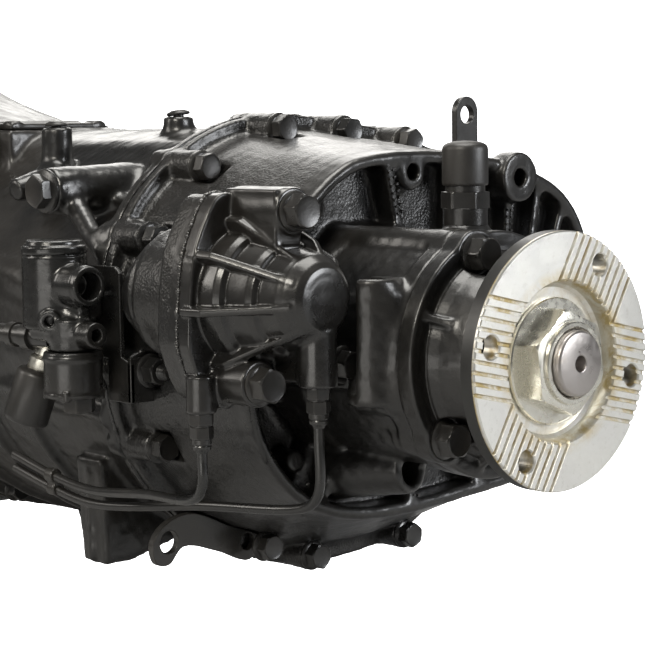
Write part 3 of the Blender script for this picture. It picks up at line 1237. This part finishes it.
def outline_path(outline, x, step=2.2):
    """Closed (y, z) outline resampled evenly at a constant x."""
    loop = np.concatenate([outline, outline[:1]])
    lengths = np.linalg.norm(np.diff(loop, axis=0), axis=1)
    reach = np.concatenate([[0], np.cumsum(lengths)])
    count = int(reach[-1] / step)
    at = np.linspace(0, reach[-1], count, endpoint=False)
    y, z = (np.interp(at, reach, loop[:, i]) for i in (0, 1))
    return np.stack([np.full(count, x), y, z], 1)


bead("joint_sealant", outline_path(inset(JOINT, 0.4), -339.9), 1.5, seed=21)
bead("front_joint_sealant", outline_path(inset(JOINT, 2.4), -675.8), 1.3, seed=22)
turn = np.linspace(0, 2 * math.pi, 260, endpoint=False)
bead("bearing_cover_sealant",
     np.stack([np.full(260, -74.8), 84.8 * np.cos(turn), 84.8 * np.sin(turn)], 1),
     1.6, seed=23, wobble=0.45)
# the cylinder cover's bead is open where the cover meets the neck
path = outline_path(inset(CYLINDER_OUTLINE, 0.3), -189.8, 2.0)
beyond_neck = np.hypot(path[:, 1], path[:, 2]) > NECK_R + 4
first_gap = int(np.argmax(~beyond_neck))
path, beyond_neck = np.roll(path, -first_gap, 0), np.roll(beyond_neck, -first_gap)
bead("cylinder_cover_sealant", path[beyond_neck], 1.5, seed=24, closed=False, wobble=0.4)

# ---------------------------------------------------------------- speed sensor
base = (*SENSOR, 0)
make("speed_sensor_shell", merge(
    turned([(11, 72), (11, 91), (15.7, 91.3), (16, 91.6), (16, 92.0), (16, 97), (16, 102.6),
            (16, 103.0), (15.7, 103.4), (14, 103.6)], base, UP, 72),
    skin(hex_rings(30.5, base, UP, 103.2, 115.2, chamfer=0.07, spin=0.15)),
    turned([(14.2, 114.8), (14.2, 119.2), (13.0, 119.3)], base, UP, 72)),
    MACHINED, node="speed_sensor_body")
make("speed_sensor_top", turned(
    [(12, 119.4), (15.7, 119.4), (16.4, 120.2), (16.5, 121.4), (16.5, 144.6), (16.1, 146.6),
     (15.0, 148.2), (12.5, 149.6), (8, 150.6), (3, 151.0), (0, 151.0)], base, UP, 96),
    PLASTIC, node="speed_sensor_cap", sharp=40)

# ---------------------------------------------------------------- lifting eyes
upper_eye = [(78, 121), (80, 119), (100, 119), (102, 121)] + [
    (90 + 12 * math.cos(t), 172 + 12 * math.sin(t)) for t in np.linspace(0, math.pi, 22)]
plate("rear_lifting_plate", upper_eye, [(90, 170, 7)], -179.6, -174, MACHINED,
      "rear_lifting_eye", 0.7)
hexbolt("rear_lifting_bolt", (-174.1, 90, 134), REAR, 17, 9, 11, 2.2)
plate("lower_lifting_plate", EYE, [(-92, -160, 9), (-12, -171.5, 7)], -330.65, -324, WORN,
      "lower_lifting_eye", 1.0)

# ---------------------------------------------------------------- valve bracket
# outline as (x, z)
BRACKET = [(-353, 54), (-347, 60), (-312, 60), (-306.2, 55), (-306.2, -8), (-294.6, -12),
           (-294.6, -42), (-323, -42), (-323, -10), (-353, -10)]
bracket = make("valve_bracket_plate", flat_piece(BRACKET, -148.0, -144.0, axis=1),
               node="valve_bracket", sharp=35)
bevel_edges(bracket, 0.8)
plate("valve_bracket_tab", [(-148, -42), (-148, -8), (-144, -8), (-122, -8), (-117.6, -13),
                            (-117.6, -34), (-124, -42)], [(-126.5, -20, 7)], -298.6, -294.6)
make("valve_bracket_spacer", turned([(7.1, -305.6), (8.8, -305.6), (8.8, -298.4),
                                     (7.1, -298.4)], (0, -126.5, -20), REAR, 40))

# ---------------------------------------------------------------- drier can and union
can_base = np.array((-389, -180, -62.0))
can_axis = np.array((-378.5, -169.5, -18.0)) - can_base
can_axis = can_axis / np.linalg.norm(can_axis)
make("drier_can_shell", turned(
    [(0, -0.6), (12, -0.2), (15.2, 0.6), (16.8, 2.0), (17.5, 4.4), (17.5, 38.0), (17.1, 40.0),
     (16.0, 41.4), (13, 42.4), (12.2, 43.4)], can_base, can_axis, 72),
    CAN_GREY, node="air_dryer_can", sharp=40)
make("drier_union", turned(
    [(0, 0), (7.0, 0), (7.6, 0.6), (7.6, 12), (9.6, 12.5), (9.6, 20), (8.2, 20.6), (8.2, 30),
     (10.6, 30.6), (10.6, 40), (8.0, 41), (8.0, 62)], (-416, -181, 6), (0.995, 0.098, -0.02)))
make("drier_can_neck", turned([(10.4, 42.0), (10.8, 42.7), (10.8, 52), (10.0, 53), (8.6, 55),
                               (8.6, 66)], can_base, can_axis), ZINC)

# ---------------------------------------------------------------- vent caps
VENT_CAP = [(4.4, -12), (4.4, 1.2), (8.6, 0.9), (9.6, 1.4), (9.8, 2.4), (9.0, 3.6), (6.6, 4.4),
            (6.2, 4.9), (3, 5.2), (0, 5.25)]
for end, top, axis in (("front", (*FRONT_VENT, 164), UP),
                       ("rear", (*REAR_VENT, 172), (-0.10, -0.06, 1))):
    make(f"vent_mushroom_{end}", turned(VENT_CAP, top, axis), PLASTIC,
         node=f"vent_cap_{end}", sharp=40)

# ---------------------------------------------------------------- selector lever
SIDEWAYS = (0, -1, 0)
make("selector_lever_hub", turned([(8.6, 0), (15, 0), (16, 0.9), (16, 8.1), (15, 9), (8.6, 9)],
                                  (LEVER_X, -61, LEVER_Z), SIDEWAYS, 56),
     body="selector", node="selector_lever")
eye_z = LEVER_Z + 58
arm_outline = [(LEVER_X - 12, LEVER_Z + 4), (LEVER_X + 12, LEVER_Z + 4)] + [
    (LEVER_X + 12.6 * math.cos(t), eye_z + 12.6 * math.sin(t))
    for t in np.linspace(-0.3, math.pi + 0.3, 22)]
lever = make("selector_lever_arm", flat_piece(arm_outline, -62.0, -69.0, axis=1),
             body="selector")
carve(lever, turned([(6, -20), (6, 20)], (LEVER_X, -65, eye_z), SIDEWAYS, 32))
bevel_edges(lever, 1.0)

# ---------------------------------------------------------------- input shaft and sleeve
turn = np.arange(240) * 2 * math.pi / 240
tooth_r = np.where((turn * 10 / (2 * math.pi)) % 1 < 0.5, 24.6, 21.0)
# stations: x, scale of the splined section
make("input_spline", skin([
    np.stack([np.full(240, x), tooth_r * k * np.cos(turn), tooth_r * k * np.sin(turn)], 1)
    for x, k in ((-884.5, 0.9), (-882, 1.0), (-745, 1.0), (-738, 0.92))]),
    STEEL, "input", sharp=30)
make("input_pilot", turned([(12.7, -886), (12.7, -912), (11.0, -915), (3, -915), (2, -911),
                            (0, -911)], ORIGIN, REAR),
     STEEL, "input", sharp=30)
SLEEVE = [(23, -815), (28.6, -815), (29, -814.4), (29, -716), (31, -708), (35, -704.6),
          (70.5, -704), (72, -703), (72, -690.4), (31, -690.4), (31, -700), (23, -706)]
make("input_sleeve_cover", turned(SLEEVE, ORIGIN, REAR, 96, "joined"), MACHINED,
     node="input_bearing_cover", sharp=30)
for i in range(6):
    angle = math.radians(30 + 60 * i)
    hexbolt(f"input_cover_bolt_{i}", (-703.8, 61 * math.cos(angle), 61 * math.sin(angle)),
            (-1, 0, 0), 13, 6, 8, 1.4, spin=0.2 * i)

# clip that holds the two pipes together
body = Field((-408, -160, -130), (-388, -138, -96), 0.7, 0.7)
body.add(rod((-403, -149.4, -108.2), (-393, -149.0, -108.4), 5.6, edge=0.8))
body.add(rod((-403, -147.2, -119.2), (-393, -147.0, -119.2), 5.6, edge=0.8), 1)
body.add(block((-402, -151, -122), (-394, -145, -106), 1.2), 2)
cast("pipe_clip", body, PLATED)

# ---------------------------------------------------------------- remaining CAD pieces
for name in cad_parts:
    obj = bpy.data.objects.get(name)
    if obj is None or obj.type != "MESH" or obj.hide_render:
        continue
    finish = {"output_seal": RUBBER, "side_plug": CAST}.get(name, STEEL)
    if not obj.material_slots:
        obj.data.materials.append(finish)
    for slot in obj.material_slots:
        slot.material = finish


# ---------------------------------------------------------------- stipple along the ribs
def stipple(name, start, end, x, seed):
    """Two rows of small raised studs from (y, z) start to end."""
    pitch, row_gap, length, width, height = 5.4, 4.6, 2.6, 3.4, 1.3
    start, end = np.array(start, float), np.array(end, float)
    run = np.linalg.norm(end - start)
    along = (end - start) / run
    across = np.array((-along[1], along[0]))
    rng = np.random.default_rng(seed)
    studs = []
    for k in range(int(run / pitch)):
        for row in (-0.5, 0.5):
            centre = (start + along * (k + 0.5) * pitch + across * row * row_gap
                      + rng.normal(size=2) * 0.25)
            top = height * (0.8 + 0.4 * rng.random())
            a, b = along * length / 2, across * width / 2
            loops = []
            for level, p, q in ((x - 2.0, a, b), (x + top, a * 0.6, b * 0.7)):
                corners = (centre - p - q, centre + p - q, centre + p + q, centre - p + q)
                loops.append(np.array([(level, *c) for c in corners]))
            studs.append(skin(loops))
    make(name, merge(*studs), CAST, sharp=20)


stipple("rib_stipple_a", (12, 136), (25, 92), -181.6, seed=31)
stipple("rib_stipple_b", (150, 102), (148, 72), -184.4, seed=32)
stipple("rib_stipple_c", (40, -92), (38, -128), -181.8, seed=33)

# ---------------------------------------------------------------- camera
scene = bpy.context.scene
scene.view_settings.view_transform = "Standard"
scene.view_settings.look = "None"

CAMERA_PLACE = (0.86065, -1.01369, 0.16270)
CAMERA_BACK = (0.7302, -0.6752, 0.1045)    # from the subject towards the camera
CAMERA_HEADING = math.radians(47.24)       # of the view's right-hand side, from +X
CAMERA_ROLL = math.radians(-0.68)
back = Vector(CAMERA_BACK).normalized()
level = Vector((math.cos(CAMERA_HEADING), math.sin(CAMERA_HEADING), 0))
level = (level - back * level.dot(back)).normalized()
upright = back.cross(level)
right = level * math.cos(CAMERA_ROLL) + upright * math.sin(CAMERA_ROLL)
upward = upright * math.cos(CAMERA_ROLL) - level * math.sin(CAMERA_ROLL)
lens = bpy.data.cameras.new("camera")
lens.lens, lens.sensor_width = 106.06, 36.0
lens.clip_start, lens.clip_end = 0.05, 50
camera = bpy.data.objects.new("camera", lens)
pose = Matrix((right, upward, back)).transposed().to_4x4()
pose.translation = Vector(CAMERA_PLACE)
camera.matrix_world = pose
scene.collection.objects.link(camera)
scene.camera = camera

# ---------------------------------------------------------------- floor
FLOOR_HALF, FLOOR_Z = 9, -0.262
mesh = bpy.data.meshes.new("floor")
mesh.from_pydata([(x * FLOOR_HALF, y * FLOOR_HALF, FLOOR_Z)
                  for x, y in ((-1, -1), (1, -1), (1, 1), (-1, 1))], [], [(0, 1, 2, 3)])
floor = bpy.data.objects.new("floor", mesh)
scene.collection.objects.link(floor)
pale = Shader("pale_floor")
seen = pale.node("ShaderNodeLightPath").outputs["Is Camera Ray"]
FLOOR_GLOW = 2.6    # seen by the camera only, so it lights nothing
mesh.materials.append(pale.finish({
    "Base Color": (0.42, 0.42, 0.42), "Roughness": 0.9, "Specular IOR Level": 0.1,
    "Emission Color": (1, 1, 1), "Emission Strength": pale.math("MULTIPLY", seen, FLOOR_GLOW)}))

# ---------------------------------------------------------------- world and lights
AMBIENT, BACKDROP = 0.13, 3.0    # strength that lights the scene, strength the camera sees
world = bpy.data.worlds.new("studio")
world.use_nodes = True
tree = world.node_tree
ambient = tree.nodes["Background"]
ambient.inputs["Color"].default_value = (1.0, 0.995, 0.985, 1)
ambient.inputs["Strength"].default_value = AMBIENT
light_path = tree.nodes.new("ShaderNodeLightPath")
backdrop = tree.nodes.new("ShaderNodeBackground")
backdrop.inputs["Strength"].default_value = BACKDROP
chooser = tree.nodes.new("ShaderNodeMixShader")
tree.links.new(light_path.outputs["Is Camera Ray"], chooser.inputs[0])
tree.links.new(ambient.outputs[0], chooser.inputs[1])
tree.links.new(backdrop.outputs[0], chooser.inputs[2])
tree.links.new(chooser.outputs[0], tree.nodes["World Output"].inputs["Surface"])
scene.world = world

LIGHT_TARGET = Vector((-0.25, 0.0, 0.0))


def softbox(name, place, size, power, colour):
    """Rectangular area light aimed at the gearbox."""
    light = bpy.data.lights.new(name, "AREA")
    light.shape = "RECTANGLE"
    light.size, light.size_y = size
    light.energy = power
    light.color = colour
    obj = bpy.data.objects.new(name, light)
    scene.collection.objects.link(obj)
    obj.location = place
    obj.rotation_euler = (Vector(place) - LIGHT_TARGET).to_track_quat("Z", "Y").to_euler()


softbox("top_box", place=(-0.3, 0.1, 1.7), size=(1.0, 1.2), power=30, colour=(1.0, 0.98, 0.93))
softbox("key_box", place=(0.35, -1.9, 1.45), size=(0.75, 0.6), power=30,
        colour=(1.0, 0.95, 0.85))
softbox("left_box", place=(-1.7, -1.7, 1.1), size=(0.7, 1.1), power=14,
        colour=(1.0, 0.95, 0.88))
softbox("rear_box", place=(1.8, 1.0, 0.65), size=(0.8, 0.9), power=36, colour=(0.95, 0.97, 1.0))
softbox("low_box", place=(0.1, -1.7, -0.12), size=(1.2, 0.25), power=3,
        colour=(1.0, 0.97, 0.92))
softbox("back_top_box", place=(-1.6, 0.95, 0.95), size=(1.1, 0.9), power=10,
        colour=(1.0, 0.98, 0.94))
